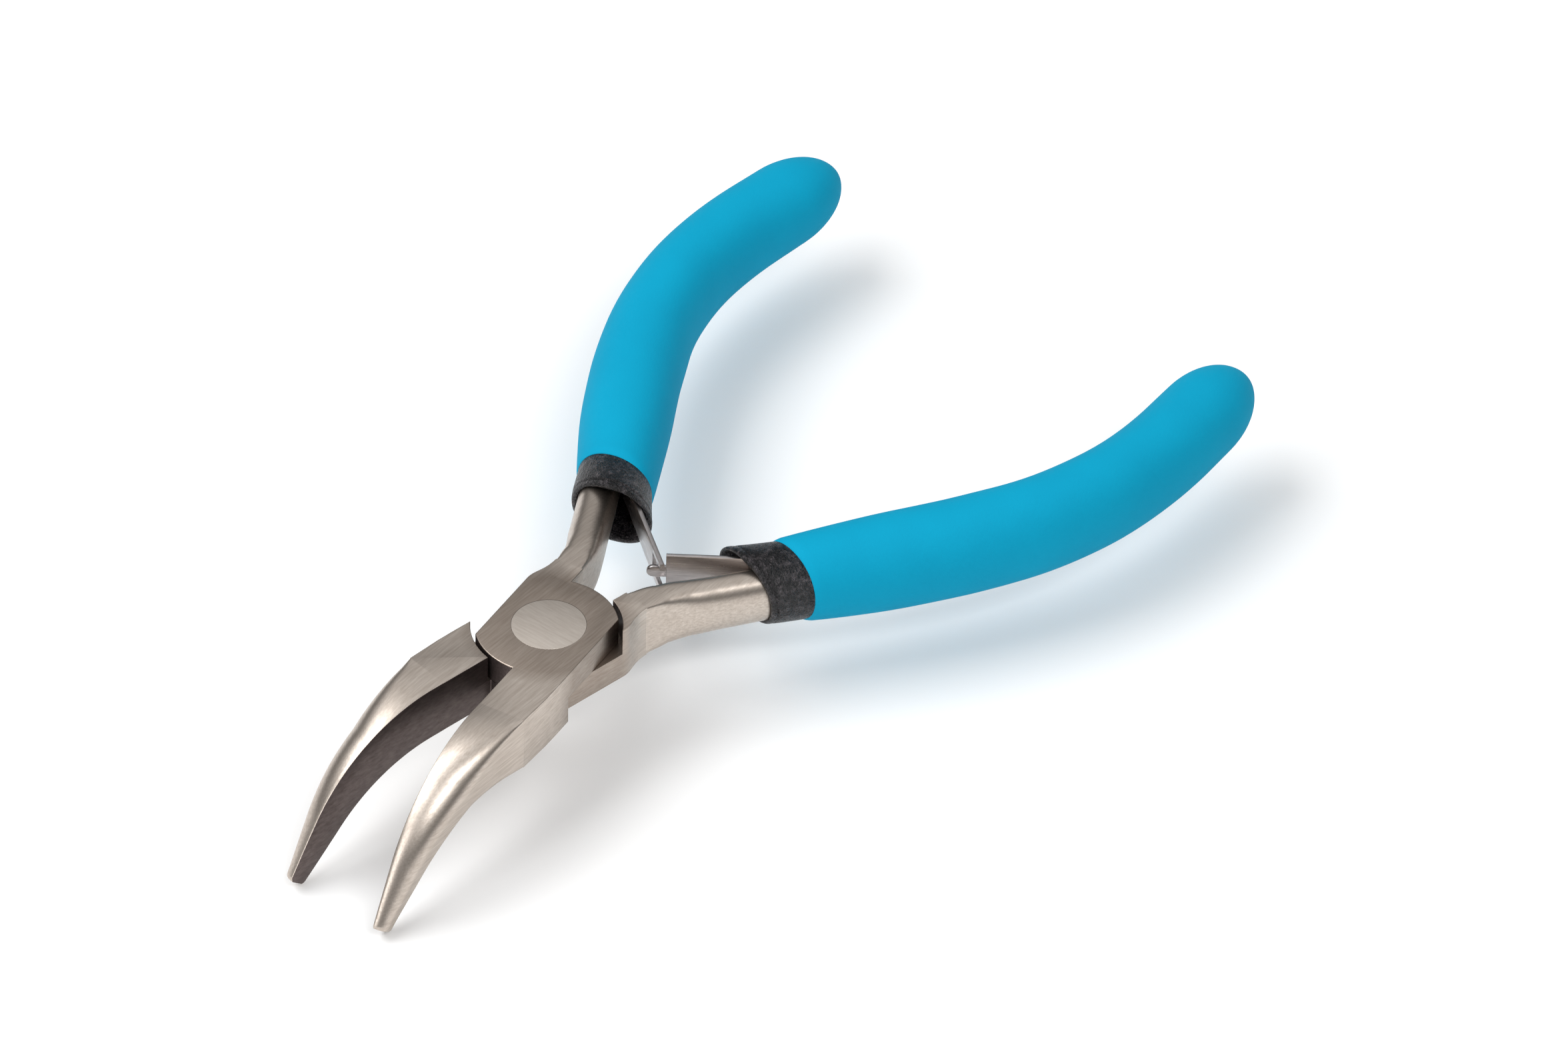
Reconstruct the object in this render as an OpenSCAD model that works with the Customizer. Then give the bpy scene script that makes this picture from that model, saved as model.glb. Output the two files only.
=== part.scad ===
// Bent-nose needle pliers, 125 mm class, with a lap joint, a double leaf spring and foam grips.
// Units are millimetres. The pivot axis is Z, the head's underside is z = 0, the jaws point to -X
// and the handles to +X. Both halves are drawn closed, with their gripping faces on the plane
// y = 0, and are then turned apart about the pivot to the angle that the springs hold them at.

/* [Head] */
// Thickness of the head, through both laps
head_t = 6.6; // [6:0.1:7.2]
// Width of the closed head across its two straight sides
head_w = 11.8; // [11.4:0.1:12.4]
// Radius of a lap towards the jaws
lap_front_r = 7.9; // [7.7:0.1:8.1]
// Radius of a lap towards the handles
lap_back_r = 7.45; // [7.3:0.05:7.6]
// Clearance between a lap and the shoulder around it
shoulder_gap = 0.4; // [0.3:0.05:0.5]
// Clearance between the two lap faces
lap_clear = 0.05; // [0.04:0.01:0.1]
// Angle that each half stands open from the centre line
half_open = 8.9; // [7:0.1:9.5]

/* [Pivot rivet] */
// Radius of the rivet's two flush heads
rivet_r = 4; // [3.6:0.1:4.2]
// Radius of the rivet's shank
shank_r = 2.8; // [2.4:0.1:3]
// Depth of each flush head
rivet_head_t = 1.6; // [1.4:0.1:1.8]
// Running clearance around the rivet in the lower half
rivet_clear = 0.05; // [0.03:0.01:0.08]

/* [Jaws] */
// Distance from the pivot at which the jaws start to bend down
bend_x = 16; // [15.5:0.5:17]
// Radius of the bend, on the jaw's middle line
bend_r = 18.5; // [17:0.5:20]
// Angle that the jaws bend down by
bend_angle = 51; // [45:1:54]
// Length of the straight end behind the tip
nose_len = 7.4; // [6:0.1:8]
// Height of the tip
tip_h = 2.2; // [2:0.1:2.6]
// Width of one jaw at its tip
tip_w = 1.3; // [1.1:0.05:1.5]
// Distance from the gripping plane to a jaw's face beside the pivot
face_relief = 0.25; // [0.2:0.05:0.35]
// Distance from the gripping plane to a jaw's face at the tip
tip_relief = 0.03; // [0.02:0.01:0.05]

/* [Handles] */
// Angle of the handles' straight stretch from the centre line
splay = 21.6; // [20:0.2:22]
// Radius of the curve that leads out of the head
neck_r = 20; // [18:1:22]
// Length of the straight stretch
straight_len = 30; // [28:0.5:31]
// Radius of the palm curve
palm_r = 54; // [50:1:58]
// Angle that the palm curve turns back by
palm_turn = 34.6; // [32:0.2:36]
// Length of the straight end behind the palm curve
end_len = 12.9; // [12:0.1:14]

/* [Grips] */
// Distance along the handle to the sleeve's mouth
mouth_s = 13.9; // [13.5:0.1:14.5]
// Length of the sleeve that shows ahead of the foam
sleeve_show = 5.4; // [5:0.1:6]
// Wall of the vinyl sleeve at its mouth
sleeve_wall = 0.8; // [0.7:0.05:0.9]
// Half width of the foam grip
grip_a = 5.15; // [5:0.05:5.3]
// Half height of the foam grip
grip_b = 5.35; // [5.2:0.05:5.5]
// Half height of the foam grip at its far end
grip_end_b = 4.6; // [4.5:0.1:4.8]
// Length of the foam's rounded end
cap_len = 8.5; // [8:0.5:9.5]

/* [Springs] */
// Thickness of the leaf springs
leaf_t = 0.5; // [0.4:0.05:0.6]
// Width of the leaf spring with the tongue
leaf_w = 4.6; // [4.2:0.1:4.8]
// Width of the leaf spring with the fork
fork_w = 4.2; // [4:0.1:4.4]
// Width of that spring at its bend
fork_root_w = 3.2; // [3:0.1:3.6]
// Angle of each blade from its handle
leaf_angle = 23; // [22:0.5:24]
// Distance behind the sleeve's mouth at which a blade leaves its tail, as the mean of the two
leaf_bend_s = 3.1; // [3:0.1:3.6]
// How much further back the upper spring is bent than that mean, and the lower one further forward
leaf_stagger = 1.6; // [0:0.1:1.8]
// Length of the clamped tail
tail_len = 4.8; // [4.5:0.1:5]
// Height of the tongue that hooks the two blades together
tongue_w = 1.4; // [1.2:0.1:1.6]
// Distance that the tongue reaches past the crossing
tongue_reach = 1.3; // [1.2:0.1:2]

/* [Hidden] */
$fn = 72;
steel = "#a8a097";
bright = "#bfb6ab";
vinyl = "#2c2a2e";
foam = "#08acd4";

mid_z = head_t / 2;

// ---- Shared tools -------------------------------------------------------------------------

// Straight blend from a to b as t goes from 0 to 1, held at both ends
function mix(a, b, t) = a + (b - a) * min(1, max(0, t));

// Value at s in a list of [station, value] pairs, straight between stations
function along(s, pairs, i = 0) =
    i >= len(pairs) - 2 || s < pairs[i + 1][0]
    ? mix(pairs[i][1], pairs[i + 1][1], (s - pairs[i][0]) / (pairs[i + 1][0] - pairs[i][0]))
    : along(s, pairs, i + 1);

function sgn(v) = v < 0 ? -1 : 1;

// A solid skinned over a list of rings that all have the same number of points
module skin(rings) {
    n = len(rings[0]);
    last = (len(rings) - 1) * n;
    walls = [for (k = [0 : len(rings) - 2], i = [0 : n - 1])
             let (a = k * n + i, b = k * n + (i + 1) % n)
             each [[a, a + n, b], [b, a + n, b + n]]];
    near_cap = [for (i = [0 : n - 1]) i];
    far_cap = [for (i = [n - 1 : -1 : 0]) last + i];
    polyhedron(points = [for (r = rings) each r], faces = concat(walls, [near_cap, far_cap]));
}

// Turns its children from the closed position to the open one
module opened(side) {
    rotate(side * half_open)
        mirror([0, side < 0 ? 1 : 0, 0])
            children();
}

// ---- Handle path --------------------------------------------------------------------------
// The path starts at the neck, beside the lap, and s is the length along it.

neck_x = 8.7;
neck_y = 3.15;
neck_len = neck_r * splay * PI / 180;
palm_len = palm_r * palm_turn * PI / 180;
palm_s = neck_len + straight_len;
end_s = palm_s + palm_len;
path_len = end_s + end_len;

function path_angle(s) =
    s < neck_len ? splay * s / neck_len :
    s < palm_s ? splay :
    s < end_s ? splay - palm_turn * (s - palm_s) / palm_len :
    splay - palm_turn;

// Point at the end of an arc of radius r that starts at p with heading a0 and ends with heading a1
function arc_end(p, r, a0, a1) = p + r * [sin(a1) - sin(a0), cos(a0) - cos(a1)];

function ahead(p, a, d) = p + d * [cos(a), sin(a)];

neck_end = arc_end([neck_x, neck_y], neck_r, 0, splay);
palm_start = ahead(neck_end, splay, straight_len);
palm_end = arc_end(palm_start, -palm_r, splay, splay - palm_turn);

function path_point(s) =
    s < neck_len ? arc_end([neck_x, neck_y], neck_r, 0, path_angle(s)) :
    s < palm_s ? ahead(neck_end, splay, s - neck_len) :
    s < end_s ? arc_end(palm_start, -palm_r, splay, path_angle(s)) :
    ahead(palm_end, splay - palm_turn, s - end_s);

// Point beside the path; positive is the outer side, away from the other handle
function beside(s, d) = ahead(path_point(s), path_angle(s) + 90, d);

// How far the handle's middle has dropped below the head's middle plane
droop = [[0, 0], [5, 0.05], [20, 0.9], [45, 1.25], [path_len, 1.45]];

// Oval ring around the path; squareness 2 is an ellipse and larger values square it up. A lean
// sets the ring's outer side back along the handle, and an under-lean sets back its underside
function oval(s, shift, a, b, squareness = 2, n = 20, lean = 0, under = 0) =
    [for (i = [0 : n - 1])
     let (t = (i + 0.5) * 360 / n,
          u = a * sgn(cos(t)) * pow(abs(cos(t)), 2 / squareness),
          v = b * sgn(sin(t)) * pow(abs(sin(t)), 2 / squareness),
          p = beside(s + lean * cos(t) + under * (1 - sin(t)), shift + u))
     [p.x, p.y, mid_z - along(s, droop) + v]];

// ---- Jaws ---------------------------------------------------------------------------------

block_x = 14.5;
bend_len = bend_r * bend_angle * PI / 180;
jaw_len = bend_len + nose_len;
lead_in = bend_x - block_x;

// Middle line of the jaw as [distance from the pivot, height, angle below level], where s is
// measured from the start of the bend and is negative on the level stretch before it
function jaw_line(s) =
    s < 0 ? [bend_x + s, mid_z, 0] :
    s < bend_len ? let (a = s / bend_len * bend_angle)
                   [bend_x + bend_r * sin(a), mid_z - bend_r * (1 - cos(a)), a] :
    let (d = s - bend_len)
    [bend_x + bend_r * sin(bend_angle) + d * cos(bend_angle),
     mid_z - bend_r * (1 - cos(bend_angle)) - d * sin(bend_angle), bend_angle];

function jaw_half_h(s) = mid_z - (mid_z - tip_h / 2) * pow(max(0, s) / jaw_len, 1.7);

jaw_widths = [[-lead_in, 5.4], [0, 5.15], [2.5, 4.8], [6, 4.3], [12, 3.4], [jaw_len, tip_w]];

function jaw_relief(x) = mix(face_relief, tip_relief, (x - 8) / 28);

// How much of the section is rounded above and below: sharp at the head, a round back at the nose
function jaw_round(s) = mix(0.05, 0.86, (s + lead_in) / 9);
function jaw_under(s) = mix(0.05, 0.62, (s + lead_in) / 9);

// Quarter outline from the top edge round to the outer side
function jaw_corner(w, h, k, arc_n) =
    [for (i = [0 : arc_n])
     let (t = 90 - 90 * i / arc_n)
     [w * (1 - k + k * cos(t)), h * (1 - k + k * sin(t))]];

// One D-shaped section: flat on the gripping side, with its outer corners rounded
function jaw_ring(s, grow = 1, arc_n = 6) =
    let (line = jaw_line(s),
         h = jaw_half_h(s) * grow,
         w = along(s, jaw_widths) * grow,
         relief = jaw_relief(line[0]),
         top = jaw_corner(w, h, jaw_round(s), arc_n),
         under = jaw_corner(w, h, jaw_under(s), arc_n),
         bottom = [for (i = [arc_n : -1 : 0]) [under[i].x, -under[i].y]],
         section = concat([[0, h]], top, bottom, [[0, -h]]))
    [for (q = section)
     [-line[0] - q.y * sin(line[2]), -relief - q.x, line[1] + q.y * cos(line[2])]];

// Stations from just behind the tip back to the head's block
jaw_stations = [jaw_len - 0.4, 22, 20, 18, 16, 14, 12, 10, 8, 6, 4.5, 3, 1.5, 0, -0.8, -lead_in];

module jaw() {
    skin(concat([jaw_ring(jaw_len, 0.8)], [for (s = jaw_stations) jaw_ring(s)]));
}

// ---- Head ---------------------------------------------------------------------------------

side_y = head_w / 2;
neck_in = 1.5;
block_end = neck_x + 0.9;
neck_wall = [[block_end, 4.84], [8.9, 4.9], [8, 5.1], [7.1, 5.43], [6.2, side_y]];

module lap_disc(extra = 0) {
    intersection() {
        circle(lap_front_r + extra, $fn = 96);
        translate([-20, -10])
            square([20, 20]);
    }
    intersection() {
        circle(lap_back_r + extra, $fn = 96);
        translate([0, -10])
            square([20, 20]);
    }
}

module jaw_block() {
    polygon([[0, -face_relief], [-8, -face_relief], [-block_x, -jaw_relief(block_x)],
             [-block_x, -jaw_relief(block_x) - jaw_widths[0][1]], [-10.5, -side_y + 0.05],
             [-8, -side_y], [0, -side_y]]);
}

module neck_block() {
    polygon(concat([[0, neck_in], [block_end, neck_in]], neck_wall, [[0, side_y]]));
}

// The slab that carries the lap
module lap_slab() {
    intersection() {
        lap_disc();
        translate([-20, -side_y])
            square([40, head_w]);
    }
    jaw_block();
    neck_block();
}

// The other slab, cut back to clear the other half's lap
module shoulder_slab() {
    difference() {
        union() {
            jaw_block();
            neck_block();
        }
        lap_disc(shoulder_gap);
    }
}

module head(lap_up) {
    lap_t = mid_z - lap_clear / 2;
    translate([0, 0, lap_up ? head_t - lap_t : 0])
        linear_extrude(lap_t)
            lap_slab();
    translate([0, 0, lap_up ? 0 : lap_t])
        linear_extrude(head_t - lap_t)
            shoulder_slab();
}

// ---- Steel core of the handle -------------------------------------------------------------

core_end = path_len - 9;
tang_shift = 0.4;
tang_a = 2.1;
core_shift = [[0, 0], [8, tang_shift], [25, tang_shift], [31, 0], [path_len, 0]];
core_a = [[0, 1.6], [1.5, 1.68], [8, tang_a], [25, tang_a], [31, 2.2], [path_len, 2]];
core_b = [[0, mid_z], [5, mid_z - 0.05], [mouth_s, mid_z - 0.15], [28, 2.9], [path_len, 2.6]];
core_square = [[0, 24], [1.5, 12], [4, 5.5], [7, 3.4], [10, 2.7], [path_len, 2.6]];
core_stations = [0.5, 1.5, 2.5, 3.5, 5, 7, 9, 11, 13, 15, 17.5, 20, 22.5, 25, 28];
core_tail = [31, 35, 40, 44, 48, 52, 56, 60, 64, 68, core_end - 1];

function core_ring(s, grow = 1) =
    oval(s, along(s, core_shift), along(s, core_a) * grow, along(s, core_b) * grow,
         along(s, core_square));

module core() {
    skin(concat([for (s = core_stations) core_ring(s)], [for (s = core_tail) core_ring(s)],
                [core_ring(core_end, 0.7)]));
}

// ---- Springs ------------------------------------------------------------------------------

tail_gap = 0.3;
tail_shift = tang_shift - tang_a - tail_gap - leaf_t / 2;
tail_start = leaf_t / 2 + 0.3;
tail_z = mid_z - 0.4;
tail_w = 3.4;
leaf_z = mid_z + 0.1;
pin_s = 3.2;
pin_r = 0.8;
pin_depth = 2.4;

// The two springs are bent at different stations, so that they cross a little below the centre
function hinge_s(side) = mouth_s + leaf_bend_s + side * leaf_stagger;
function hinge(side) = beside(hinge_s(side), tail_shift);

// Bend of one spring in the open position, with the lower one mirrored onto the upper side
function open_hinge(side) =
    let (p = hinge(side))
    [p.x * cos(half_open) - p.y * sin(half_open), p.x * sin(half_open) + p.y * cos(half_open)];

// Length of each blade from its bend to where the two blades cross
blade_angle = splay + half_open + leaf_angle;
cross_sum = (open_hinge(1).y + open_hinge(-1).y) / sin(blade_angle);
cross_difference = (open_hinge(1).x - open_hinge(-1).x) / cos(blade_angle);
function blade_len(side) = (cross_sum + side * cross_difference) / 2;

// Moves its children to the bend, with +X running down the blade towards the pivot
module at_bend(side) {
    translate([hinge(side).x, hinge(side).y, leaf_z])
        rotate(splay + leaf_angle + 180)
            children();
}

// Moves its children onto the spring's tail, with +X running along the handle
module on_tail(s) {
    p = beside(s, tail_shift);
    translate([p.x, p.y, tail_z])
        rotate(splay)
            children();
}

module strip(x0, x1, w) {
    translate([x0, -leaf_t / 2, -w / 2])
        cube([x1 - x0, leaf_t, w]);
}

// A strip that widens from w0 at x0 to w1 at x1
module tapered_strip(x0, x1, w0, w1) {
    rotate([90, 0, 0])
        linear_extrude(leaf_t, center = true)
            polygon([[x0, -w0 / 2], [x1, -w1 / 2], [x1, w1 / 2], [x0, w0 / 2]]);
}

module knuckle(w) {
    cylinder(r = leaf_t / 2, h = w, center = true);
}

// Blade with an open fork at its end
module fork_blade(crossing) {
    slot_h = tongue_w + 0.9;
    slot_x = crossing - 1.7;
    reach = crossing + 1.5;
    knuckle(fork_root_w);
    difference() {
        tapered_strip(0, reach, fork_root_w, fork_w);
        translate([slot_x, -leaf_t, -slot_h / 2])
            cube([reach, 2 * leaf_t, slot_h]);
    }
}

// Blade that steps down to a tongue with a rounded end
module tongue_blade(crossing) {
    shoulder = crossing - leaf_t / 2 - 0.55;
    tongue_end = crossing + tongue_reach - tongue_w / 2;
    knuckle(leaf_w);
    strip(0, shoulder, leaf_w);
    strip(shoulder - 0.1, tongue_end, tongue_w);
    translate([tongue_end, 0, 0])
        rotate([90, 0, 0])
            cylinder(r = tongue_w / 2, h = leaf_t, center = true);
}

// Room that a blade sweeps as the handles move, with clearance
module blade_room(side, w) {
    sweep = 14;
    at_bend(side)
        linear_extrude(w + 0.6, center = true)
            polygon([[0, -0.6], [sweep, -0.6 - sweep * tan(16)], [sweep, 0.55 + sweep * tan(4)],
                     [0, 0.55]]);
}

module spring_tail(side) {
    difference() {
        on_tail(hinge_s(side))
            strip(tail_start, tail_start + tail_len, tail_w);
        on_tail(hinge_s(side) + pin_s)
            rotate([90, 0, 0])
                cylinder(r = pin_r, h = 4, center = true);
    }
}

// Small rivet that holds the tail to the handle; its head is on the inner side
module spring_rivet(side) {
    on_tail(hinge_s(side) + pin_s)
        rotate([-90, 0, 0]) {
            translate([0, 0, -leaf_t / 2])
                cylinder(r = pin_r, h = leaf_t / 2 + pin_depth);
            translate([0, 0, -leaf_t / 2 - 0.5])
                cylinder(r = 1.5, h = 0.5);
        }
}

module spring_rivet_hole(side) {
    on_tail(hinge_s(side) + pin_s)
        rotate([-90, 0, 0])
            translate([0, 0, -0.5])
                cylinder(r = pin_r, h = pin_depth + 0.6);
}

// ---- Sleeve and grip ----------------------------------------------------------------------

foam_s = mouth_s + sleeve_show;
sleeve_end = path_len - 6;
sleeve_shift = [[mouth_s, -1.45], [mouth_s + 2, -1.2], [foam_s, -0.95], [foam_s + 8, -0.6],
                [36, -0.4], [42, -0.4], [48, 0], [58, 0.25], [70, 0.1], [path_len, 0]];
sleeve_a = [[mouth_s, 4.65], [foam_s, 4.2], [foam_s + 3, 4.1], [foam_s + 8, 3.7], [path_len, 3.4]];
sleeve_b = [[mouth_s, 4.35], [foam_s, 4.4], [foam_s + 3, 4.3], [foam_s + 8, 4], [path_len, 3.7]];
sleeve_lean = [[mouth_s, 1.3], [foam_s, 0.3], [foam_s + 2, 0], [path_len, 0]];
sleeve_stations = [mouth_s + 0.5, mouth_s + 1.5, mouth_s + 3.5, foam_s, foam_s + 1.5,
                   foam_s + 3, foam_s + 5, foam_s + 7];
sleeve_tail = [30, 35, 40, 44, 48, 52, 56, 60, 64, 68, 72, sleeve_end - 2];

sleeve_under = [[mouth_s, 0.5], [foam_s, 0.1], [foam_s + 2, 0], [path_len, 0]];

function sleeve_ring(s, grow = 0, squareness = 2.1) =
    oval(s, along(s, sleeve_shift), along(s, sleeve_a) + grow, along(s, sleeve_b) + grow,
         squareness, lean = along(s, sleeve_lean), under = along(s, sleeve_under));

module sleeve_outside() {
    skin(concat([sleeve_ring(mouth_s, -0.25)], [for (s = sleeve_stations) sleeve_ring(s)],
                [for (s = sleeve_tail) sleeve_ring(s)], [sleeve_ring(sleeve_end, -1.3)]));
}

// The open pocket behind the mouth, which holds the steel and the spring's tail
pocket_stations = [mouth_s, mouth_s + 0.5, mouth_s + 1.5, mouth_s + 3.5, foam_s, foam_s + 1.5,
                   foam_s + 3, foam_s + 5, foam_s + 7];

// The mouth's ring again, moved forward to open the pocket
function before_mouth(ring) = [for (p = ring) p - [cos(splay), sin(splay), 0]];

module sleeve_pocket() {
    skin(concat([before_mouth(sleeve_ring(mouth_s, -sleeve_wall, 2.7))],
                [for (s = pocket_stations) sleeve_ring(s, -sleeve_wall, 2.7)]));
}

module sleeve(side, blade_w) {
    difference() {
        sleeve_outside();
        sleeve_pocket();
        core();
        blade_room(side, blade_w);
    }
}

// Half sizes of the foam, drawn in at its start and rounded off at its end
function cap(s) = let (t = (s - (path_len - cap_len)) / cap_len) t <= 0 ? 1 : sqrt(1 - t * t);
foam_shift = [[foam_s, -0.95], [foam_s + 0.7, -0.95], [foam_s + 8, -0.65], [36, -0.4], [42, -0.4], [48, 0],
              [58, 0.25], [70, 0.1], [path_len, 0]];
foam_a = [[foam_s, 4.3], [foam_s + 0.7, 4.5], [foam_s + 4, 4.75], [30, grip_a], [42, grip_a],
          [50, grip_a - 0.25], [60, grip_a - 0.4], [70, grip_a - 0.25], [path_len, grip_a - 0.3]];
foam_b = [[foam_s, 4.5], [foam_s + 0.7, 4.85], [foam_s + 4, 5.1], [30, grip_b], [56, grip_b + 0.1],
          [62, grip_b - 0.1], [70, grip_end_b + 0.3], [path_len, grip_end_b]];
foam_stations = [foam_s, foam_s + 0.3, foam_s + 0.7, foam_s + 4, foam_s + 8, 30,
                 35, 38, 41, 44, 47, 50, 53, 56, 59, 62, 65, 68, 71, 74];
foam_cap = [0.15, 0.35, 0.55, 0.72, 0.85, 0.94, 0.985];

foam_lean = [[foam_s, 1.3], [30, 0], [path_len, 0]];

function foam_ring(s) =
    oval(s, along(s, foam_shift), along(s, foam_a) * cap(s), along(s, foam_b) * cap(s), 2.1, 24,
         lean = along(s, foam_lean));

module grip() {
    difference() {
        skin(concat([for (s = foam_stations) foam_ring(s)],
                    [for (t = foam_cap) foam_ring(path_len - cap_len * (1 - t))]));
        sleeve_outside();
    }
}

// ---- Halves and rivet ---------------------------------------------------------------------

// The lap-up half grips the rivet and the other half turns on it
module half(lap_up) {
    bore_extra = lap_up ? 0 : rivet_clear;
    sink_z = lap_up ? head_t - rivet_head_t : -1;
    difference() {
        union() {
            head(lap_up);
            jaw();
            core();
        }
        translate([0, 0, -1])
            cylinder(r = shank_r + bore_extra, h = head_t + 2);
        translate([0, 0, sink_z])
            cylinder(r = rivet_r + bore_extra, h = rivet_head_t + 1 + bore_extra);
        spring_rivet_hole(lap_up ? 1 : -1);
    }
}

module upper_half() {
    color(steel)
        opened(1)
            half(true);
}

module lower_half() {
    color(steel)
        opened(-1)
            half(false);
}

module pivot_rivet() {
    color(bright) {
        cylinder(r = rivet_r, h = rivet_head_t);
        cylinder(r = shank_r, h = head_t);
        translate([0, 0, head_t - rivet_head_t])
            cylinder(r = rivet_r, h = rivet_head_t);
    }
}

module upper_spring_blade() {
    color(bright)
        opened(1)
            at_bend(1)
                fork_blade(blade_len(1));
}

module lower_spring_blade() {
    color(bright)
        opened(-1)
            at_bend(-1)
                tongue_blade(blade_len(-1));
}

module upper_spring_tail() {
    color(bright)
        opened(1)
            spring_tail(1);
}

module lower_spring_tail() {
    color(bright)
        opened(-1)
            spring_tail(-1);
}

module upper_spring_rivet() {
    color(bright)
        opened(1)
            spring_rivet(1);
}

module lower_spring_rivet() {
    color(bright)
        opened(-1)
            spring_rivet(-1);
}

module upper_sleeve() {
    color(vinyl)
        opened(1)
            sleeve(1, (fork_root_w + fork_w) / 2);
}

module lower_sleeve() {
    color(vinyl)
        opened(-1)
            sleeve(-1, leaf_w);
}

module upper_grip() {
    color(foam)
        opened(1)
            grip();
}

module lower_grip() {
    color(foam)
        opened(-1)
            grip();
}

upper_half();
lower_half();
pivot_rivet();
upper_spring_blade();
lower_spring_blade();
upper_spring_tail();
lower_spring_tail();
upper_spring_rivet();
lower_spring_rivet();
upper_sleeve();
lower_sleeve();
upper_grip();
lower_grip();
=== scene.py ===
import math

import bmesh
import bpy
from mathutils import Matrix, Vector


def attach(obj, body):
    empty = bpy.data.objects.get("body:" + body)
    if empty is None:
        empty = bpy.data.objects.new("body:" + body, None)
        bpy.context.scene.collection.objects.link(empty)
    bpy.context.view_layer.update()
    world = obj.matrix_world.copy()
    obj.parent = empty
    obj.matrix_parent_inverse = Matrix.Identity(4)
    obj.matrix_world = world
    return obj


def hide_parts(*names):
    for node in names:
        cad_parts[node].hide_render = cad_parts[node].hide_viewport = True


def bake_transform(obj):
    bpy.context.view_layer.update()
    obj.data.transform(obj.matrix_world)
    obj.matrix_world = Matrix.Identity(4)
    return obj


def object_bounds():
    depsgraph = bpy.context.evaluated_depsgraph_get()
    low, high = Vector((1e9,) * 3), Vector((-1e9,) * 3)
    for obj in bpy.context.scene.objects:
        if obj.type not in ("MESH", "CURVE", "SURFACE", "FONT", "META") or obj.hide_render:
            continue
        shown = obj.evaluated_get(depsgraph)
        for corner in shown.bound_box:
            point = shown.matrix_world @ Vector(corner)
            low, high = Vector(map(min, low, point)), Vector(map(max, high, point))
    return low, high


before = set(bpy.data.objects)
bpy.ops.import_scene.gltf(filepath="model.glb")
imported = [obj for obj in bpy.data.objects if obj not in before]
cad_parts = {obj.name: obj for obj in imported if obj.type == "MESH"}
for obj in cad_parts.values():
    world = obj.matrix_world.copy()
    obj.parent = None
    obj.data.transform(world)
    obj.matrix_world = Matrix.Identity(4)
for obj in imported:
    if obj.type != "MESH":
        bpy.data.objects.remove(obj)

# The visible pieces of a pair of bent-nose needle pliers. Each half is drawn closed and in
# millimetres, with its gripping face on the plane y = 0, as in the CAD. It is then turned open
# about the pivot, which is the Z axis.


def corners():
    """The shown object's box as plain lists of numbers."""
    return [[float(v) for v in corner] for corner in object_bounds()]


cad_box = corners()

MM = 0.001
TAU = 2 * math.pi

# ---- Camera ----------------------------------------------------------------------------------
# Its place and directions were fitted to the photo, for a long lens that was picked by judgement.

SENSOR_WIDTH = 36
LENS = 198.98
CAMERA_AT = Vector((-534.9, -439.5, 605.6)) * MM
CAMERA_RIGHT = Vector((0.62153, -0.78307, 0.02192)).normalized()
CAMERA_UP = Vector((0.49494, 0.41421, 0.76385)).normalized()

camera = bpy.data.objects.new("camera", bpy.data.cameras.new("camera"))
bpy.context.scene.collection.objects.link(camera)
camera.data.sensor_width = SENSOR_WIDTH
camera.data.lens = LENS
camera.data.clip_start = 0.05
camera.data.clip_end = 20
camera_axes = Matrix((CAMERA_RIGHT, CAMERA_UP, CAMERA_RIGHT.cross(CAMERA_UP))).transposed()
camera.matrix_world = Matrix.Translation(CAMERA_AT) @ camera_axes.to_4x4()
bpy.context.scene.camera = camera
bpy.context.scene.view_settings.view_transform = "Standard"

# ---- Sizes, in millimetres and degrees, with the CAD's values --------------------------------

# Head and rivet
HEAD_T = 6.6
MID_Z = HEAD_T / 2
HEAD_W = 11.8
SIDE_Y = HEAD_W / 2
LAP_FRONT = 7.9
LAP_BACK = 7.45
SHOULDER_GAP = 0.4
LAP_CLEAR = 0.05
HALF_OPEN = 8.9
RIVET_R = 4
SHANK_R = 2.8
RIVET_HEAD_T = 1.6

# Jaws
BEND_X = 16
BLOCK_X = 14.5
BEND_R = 18.5
BEND_ANGLE = 51
NOSE_LEN = 7.4
TIP_H = 2.2
TIP_W = 1.3
FACE_RELIEF = 0.25
TIP_RELIEF = 0.03
BEND_LEN = BEND_R * math.radians(BEND_ANGLE)
JAW_LEN = BEND_LEN + NOSE_LEN
LEAD_IN = BEND_X - BLOCK_X

# Handles: S is the distance along the path, which starts at the neck
SPLAY = 21.6
NECK_R = 20
STRAIGHT_LEN = 30
PALM_R = 54
PALM_TURN = 34.6
END_LEN = 12.9
NECK = Vector((8.7, 3.15))
NECK_LEN = NECK_R * math.radians(SPLAY)
PALM_LEN = PALM_R * math.radians(PALM_TURN)
PALM_S = NECK_LEN + STRAIGHT_LEN
END_S = PALM_S + PALM_LEN
PATH_LEN = END_S + END_LEN

# Grips and tang; A is half a width and B is half a height
MOUTH_S = 13.9
SLEEVE_SHOW = 5.4
FOAM_S = MOUTH_S + SLEEVE_SHOW
SLEEVE_WALL = 0.8
GRIP_A = 5.15
GRIP_B = 5.35
GRIP_END_B = 4.6
CAP_LEN = 8.5
TANG_SHIFT = 0.4
TANG_A = 2.1

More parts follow.
